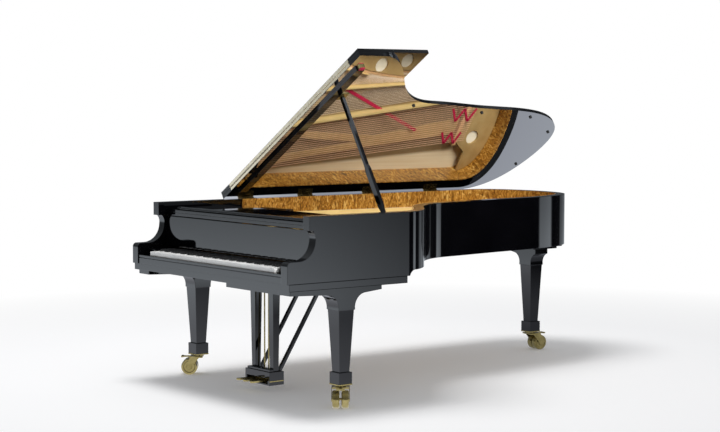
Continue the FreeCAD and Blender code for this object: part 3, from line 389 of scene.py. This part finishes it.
def zigzag(turns, width, levels):
    """Flat strips from turn to turn, as one mesh."""
    verts = []
    faces = []
    for start, end in zip(turns, turns[1:]):
        base = len(verts)
        corners, sides = strip(start, end, width, levels)
        verts += corners
        faces += [tuple(base + corner for corner in face) for face in sides]
    return verts, faces


def block(x, y, z, carried=Matrix()):
    """A box between pairs of numbers, carried by a frame."""
    plan = ((x[0], y[0]), (x[1], y[0]), (x[1], y[1]), (x[0], y[1]))
    return [carried @ Vector((a, b, level)) for level in z for a, b in plan], BOX_FACES


# How near to the front end a string's corner lies, and how far apart the corners of one string are at most
FRONT_SLACK = 0.001
STRING_WIDTH = 0.004


def string_fronts():
    """Where the strings start: their X places from bass to treble, and the Y of their front ends."""
    node = frame["nodes"]["strings"]
    points = [node.matrix_world @ vertex.co for vertex in node.data.vertices]
    front = min(point.y for point in points)
    places = []
    for x in sorted(point.x for point in points if point.y < front + FRONT_SLACK):
        if places and x - places[-1][0] < STRING_WIDTH:
            places[-1].append(x)
        else:
            places.append([x])
    return [sum(group) / len(group) for group in places], front


# Tuning pins: two to a note, set back from the string's front end in three rows
PIN_RADIUS = 0.0034
PIN_LEVELS = (PLATE_TOP, 0.931)
PIN_PITCH = 0.006
PIN_SETBACK = 0.024
PIN_ROW_STEP = 0.017
PIN_ROWS = 3
# Studs at the string starts, a little behind their front ends
STUD_RADIUS = 0.0042
STUD_LEVELS = (PLATE_TOP, 0.9225)
STUD_BACK = 0.002
# The felt between the pins and the studs
FRONT_FELT_ENDS = (-0.66, 0.66)
FRONT_FELT_SETBACK = 0.011
FRONT_FELT_WIDTH = 0.012
FRONT_FELT_LEVELS = (PLATE_TOP, 0.9095)


def pins_and_studs():
    """Tuning pins and studs, and the red felt between them."""
    starts, front = string_fronts()
    pins = []
    for note, x in enumerate(starts):
        for pin in range(2):
            row = (2 * note + pin) % PIN_ROWS
            pins.append((x + PIN_PITCH * (pin - 0.5), front - PIN_SETBACK - PIN_ROW_STEP * row))
    solid("tuning_pins", pegs(pins, PIN_RADIUS, PIN_LEVELS), STEEL, "case")
    studs = [(x, front + STUD_BACK) for x in starts]
    solid("string_studs", pegs(studs, STUD_RADIUS, STUD_LEVELS), BRASS, "case")
    start, end = ((x, front - FRONT_FELT_SETBACK) for x in FRONT_FELT_ENDS)
    solid("front_felt", strip(start, end, FRONT_FELT_WIDTH, FRONT_FELT_LEVELS), RED, "case")


# The felt along the bar: its front and back end in plan, its width and its levels
BAR_FELT = ((-0.093, 1.368 + FRONT), (-0.387, 2.023 + FRONT), 0.022, (0.9205, 0.9235))
# The felts woven through the string ends at the tail: two X places and the Y of the first and last turn
TAIL_FELTS = {"tail_felt": (-0.23, -0.32, 0.88, 1.08), "bass_felt": (-0.40, -0.48, 0.85, 1.01)}
TAIL_FELT_WIDTH = 0.016
TAIL_FELT_LEVELS = (0.9315, 0.934)
FELT_TURNS = 5
# The middles of the round holes in the plate, as shares of half the width and of the length
ROSE_SHARES = ((0.075, 0.582), (0.060, 0.664), (-0.592, 0.918))
# The discs sit just under the plate's top in place of the deeper board; their lighter colour is painted light
DISC_RADIUS = 0.0475
DISC_LEVELS = (0.8935, 0.8955)
DISC_SIDES = 40


def rose_spots():
    """Where the board shows through the plate's round holes, in plan, and where the discs of painted lit
    spruce lie.
    """
    return [(x * HALF_WIDTH, SIDE_RUN + (y - SIDE_SHARE) * CASE_LENGTH + FRONT) for x, y in ROSE_SHARES]


def felt_turns(right, left, first, last):
    """The turns of a felt that goes from side to side on its way back."""
    step = (last - first) / (FELT_TURNS - 1)
    return [(left if turn % 2 else right, first + step * turn) for turn in range(FELT_TURNS)]


def plate_pieces():
    """The felts on the plate and strings, and discs of painted lit spruce in the plate's round holes."""
    solid("bar_felt", strip(*BAR_FELT), RED, "case")
    solid("rose_discs", pegs(rose_spots(), DISC_RADIUS, DISC_LEVELS, DISC_SIDES), PAINTED_LIT_SPRUCE, "case")
    for name, reach in TAIL_FELTS.items():
        solid(name, zigzag(felt_turns(*reach), TAIL_FELT_WIDTH, TAIL_FELT_LEVELS), RED, "case")


# The step on the pedal box and the brass strips on its ends
STEP_X = (-0.108, 0.108)
STEP_Y = (LYRE_FRONT + 0.008, LYRE_FRONT + 0.034)
STEP_Z = (0.112, 0.124)
TRIM_X = (0.1175, 0.1190)
TRIM_Y = (LYRE_FRONT, LYRE_FRONT + 0.094)
TRIM_Z = (0.058, 0.063)
# The lines of painted shade along the case's straight sides, at the seam on top of the keybed and at its foot
LINE_X = (0.7640, 0.7652)
LINE_Y = (0.014 + FRONT, 0.780 + FRONT)
LINES_Z = {"joint_shade_line": (0.6680, 0.6705), "foot_shade_line": (0.6320, 0.6340)}
# The catch on the lid's batten and its felt, in the lid's own frame: across the lid, along it, and down
CATCH_ACROSS = (1.428, 1.452)
CATCH_ALONG = (0.690, 0.722)
CATCH_DOWN = (-0.009, 0.004)
CATCH_FELT_ACROSS = (1.4285, 1.4515)
CATCH_FELT_ALONG = (0.6905, 0.7215)
CATCH_FELT_DOWN = (-0.013, -0.009)


def case_trim():
    """The pedal box's step and trim, and joint lines of painted shade on the sides of the case."""
    solid("box_step", block(STEP_X, STEP_Y, STEP_Z), BLACK, "case")
    for name, side in SIDES:
        ends = sorted(side * x for x in TRIM_X)
        solid(name + "_box_trim", block(ends, TRIM_Y, TRIM_Z), BRASS, "case")
    for name, side in SIDES:
        ends = sorted(side * x for x in LINE_X)
        for line, levels in LINES_Z.items():
            # Painted shade: matte dark strips where the seams would hold shadow
            solid(f"{name}_{line}", block(ends, LINE_Y, levels), PAINTED_SHADE_STRIP, "case")


def lid_pieces():
    """The catch on the lid's batten, with felt under it."""
    lid = Matrix.Translation((-HALF_WIDTH, FRONT, HINGE_HEIGHT)) @ Matrix.Rotation(-LID_ANGLE, 4, "Y")
    solid("lid_catch", block(CATCH_ACROSS, CATCH_ALONG, CATCH_DOWN, lid), BRASS, "lid")
    solid("catch_felt", block(CATCH_FELT_ACROSS, CATCH_FELT_ALONG, CATCH_FELT_DOWN, lid), RED, "lid")


# Surround and floor

# Compass direction in degrees from +X towards +Y, and how bright the surround is there
PANELS = (
    (-180, 0.8), (-172, 1.0), (-150, 1.15), (-128, 1.5), (-112, 1.4), (-98, 0.7), (-82, 0.5), (-74, 0.02),
    (0, 0.02), (24, 1.7), (35.5, 1.40), (37.5, 0.96), (39.2, 0.62), (41.0, 0.45), (43.0, 0.0), (62.5, 0.0),
    (63.2, 1.5), (75.5, 1.7), (76.2, 0.0), (96, 0.02), (97.5, 0.34), (120, 0.42), (180, 0.8),
)
# A third of the brightness goes into the colours of the panels, and their strength raises it
PANEL_SCALE = 3
PANEL_TINT = (0.90, 0.98, 1.06)
# The strength of the panels: doubled for rays that dip towards the floor, weak for rays that rise
DIP = {"start": -0.060, "end": -0.105, "first": 2.0, "last": 4.0}
RISE = {"start": -0.02, "end": 0.03, "first": 1.0, "last": 0.25}
# A wide soft sheet overhead
SHEET = {"start": 0.22, "end": 0.95, "last": 0.25}
SHEET_TINT = (0.90, 0.96, 1.0, 1)
FILL_TINT = (0.97, 0.98, 1.0, 1)
FILL_STRENGTH = 0.43


def studio_glow(tree):
    """What the lacquer sees around the piano: bright and dark panels by compass direction."""
    place = tree.nodes.new("ShaderNodeTexCoord")
    x, y, z = axes(tree, place.outputs["Generated"])
    turn = spread(tree, arithmetic(tree, "ARCTAN2", y, x), -math.pi, math.pi)
    stops = []
    for angle, level in PANELS:
        stops.append(((angle + 180) / 360, [level / PANEL_SCALE * tint for tint in PANEL_TINT]))
    strength = arithmetic(tree, "MULTIPLY", spread(tree, z, **DIP), spread(tree, z, **RISE))
    around = glow(tree, "Background", ramp(tree, turn, stops), strength)
    above = glow(tree, "Background", SHEET_TINT, spread(tree, z, **SHEET))
    total = tree.nodes.new("ShaderNodeAddShader")
    feed(tree, around, total.inputs[0])
    feed(tree, above, total.inputs[1])
    return total.outputs["Shader"]


def world_light():
    """White to the camera, a studio of panels to the lacquer, and an even fill to all else."""
    world = bpy.data.worlds.new("studio")
    scene.world = world
    world.use_nodes = True
    tree = world.node_tree
    tree.nodes.clear()
    path = tree.nodes.new("ShaderNodeLightPath")
    fill = glow(tree, "Background", FILL_TINT, FILL_STRENGTH)
    unseen = choose(tree, path.outputs["Is Glossy Ray"], fill, studio_glow(tree))
    white = glow(tree, "Background", (*WHITE, 1))
    seen = choose(tree, path.outputs["Is Camera Ray"], unseen, white)
    out = tree.nodes.new("ShaderNodeOutputWorld")
    feed(tree, seen, out.inputs["Surface"])


FLOOR_SIZE = 160
FLOOR_GLOW = 0.13
# How far from the middle the lit floor turns to plain white, and the painted glow that the lacquer mirrors
# turns clear
WHITE_REACH = (2.6, 5.0)
CLEAR_REACH = (2.5, 4.5)
# The Y between which that painted glow goes from its front to its back colour, darker towards the back
MIRRORED_GLOW_REACH = (-0.9, 0.8)
MIRRORED_GLOW_FRONT = (1.0, 1.04, 1.14)
MIRRORED_GLOW_BACK = (0.34, 0.36, 0.41)


def floor():
    """A pale floor: shadowed near the piano, plain white further out, and to the lacquer a painted glow in
    place of its lit surface.
    """
    bpy.ops.mesh.primitive_plane_add(size=FLOOR_SIZE, location=(0, 0, 0))
    plane = bpy.context.object
    plane.name = "floor"
    material, tree, shader, place = tree_of("pale_floor")
    colour = two_tone(tree, noise(tree, place, 0.6), (0.90, 0.90, 0.905), (0.91, 0.91, 0.915))
    feed(tree, colour, shader.inputs["Base Color"])
    shader.inputs["Roughness"].default_value = 0.9
    shader.inputs["Specular IOR Level"].default_value = 0.05
    shader.inputs["Emission Color"].default_value = (*WHITE, 1)
    shader.inputs["Emission Strength"].default_value = FLOOR_GLOW
    far = tree.nodes.new("ShaderNodeVectorMath")
    far.operation = "LENGTH"
    feed(tree, place, far.inputs[0])
    distance = far.outputs["Value"]
    white = glow(tree, "Emission", (*WHITE, 1))
    lit = choose(tree, spread(tree, distance, *WHITE_REACH), shader.outputs["BSDF"], white)
    depth = spread(tree, axes(tree, place)[1], *MIRRORED_GLOW_REACH)
    # Painted reflection: the lacquer mirrors a glowing floor, bright at the front and darker towards the back,
    # not the lit floor
    painted_floor_glow = glow(tree, "Emission", ramp(tree, depth, ((0.0, MIRRORED_GLOW_FRONT), (1.0, MIRRORED_GLOW_BACK))))
    clear = tree.nodes.new("ShaderNodeBsdfTransparent")
    mirrored = choose(tree, spread(tree, distance, *CLEAR_REACH), painted_floor_glow, clear.outputs["BSDF"])
    path = tree.nodes.new("ShaderNodeLightPath")
    surface = choose(tree, path.outputs["Is Glossy Ray"], lit, mirrored)
    feed(tree, surface, tree.nodes["Material Output"].inputs["Surface"])
    plane.data.materials.append(material)
    return plane


# Lamps and camera


def area(name, place, target, side, power):
    """A soft square lamp aimed at a point, which the lacquer does not mirror."""
    light = bpy.data.lights.new(name, "AREA")
    light.shape = "SQUARE"
    light.size = side
    light.energy = power
    lamp = bpy.data.objects.new(name, light)
    scene.collection.objects.link(lamp)
    lamp.location = place
    lamp.rotation_mode = "QUATERNION"
    lamp.rotation_quaternion = (Vector(target) - Vector(place)).to_track_quat("-Z", "Y")
    lamp.visible_glossy = False
    return lamp


def lamps(ground):
    """A key from above, and a lamp for the inside that leaves the floor's shadow alone."""
    area("key", place=(-0.9, -0.9, 7.5), target=(0.0, 0.2, 0.4), side=2.4, power=335)
    inner = area("inside", place=(3.6, 0.6, 3.9), target=(-0.3, 0.2, 0.95), side=2.5, power=380)
    unlit = bpy.data.collections.new("unlit")
    unlit.objects.link(ground)
    inner.light_linking.receiver_collection = unlit
    unlit.collection_objects[0].light_linking.link_state = "EXCLUDE"


# The camera that was fitted to the photo: lens and sensor in millimetres, turns in degrees, place in metres
LENS = 89.87
SENSOR = 36.0
YAW = 52.435
PITCH = 3.901
ROLL = 0.077
EYE = (8.1481, -5.2162 + FRONT, 1.6367)


def camera():
    """Looks at the piano as the photo does."""
    data = bpy.data.cameras.new("camera")
    data.sensor_width = SENSOR
    data.lens = LENS
    data.clip_end = 400.0
    eye = bpy.data.objects.new("camera", data)
    scene.collection.objects.link(eye)
    yaw, pitch, roll = (math.radians(angle) for angle in (YAW, PITCH, ROLL))
    back = Vector((math.sin(yaw) * math.cos(pitch), -math.cos(yaw) * math.cos(pitch), math.sin(pitch)))
    right = (-back).cross(Vector((0, 0, 1))).normalized()
    up = back.cross(right)
    turn = Matrix((right, up, back)).transposed() @ Matrix.Rotation(roll, 3, "Z")
    eye.matrix_world = Matrix.Translation(EYE) @ turn.to_4x4()
    scene.camera = eye


dress_nodes()
pins_and_studs()
plate_pieces()
case_trim()
lid_pieces()
world_light()
lamps(floor())
camera()
scene.view_settings.view_transform = "Standard"
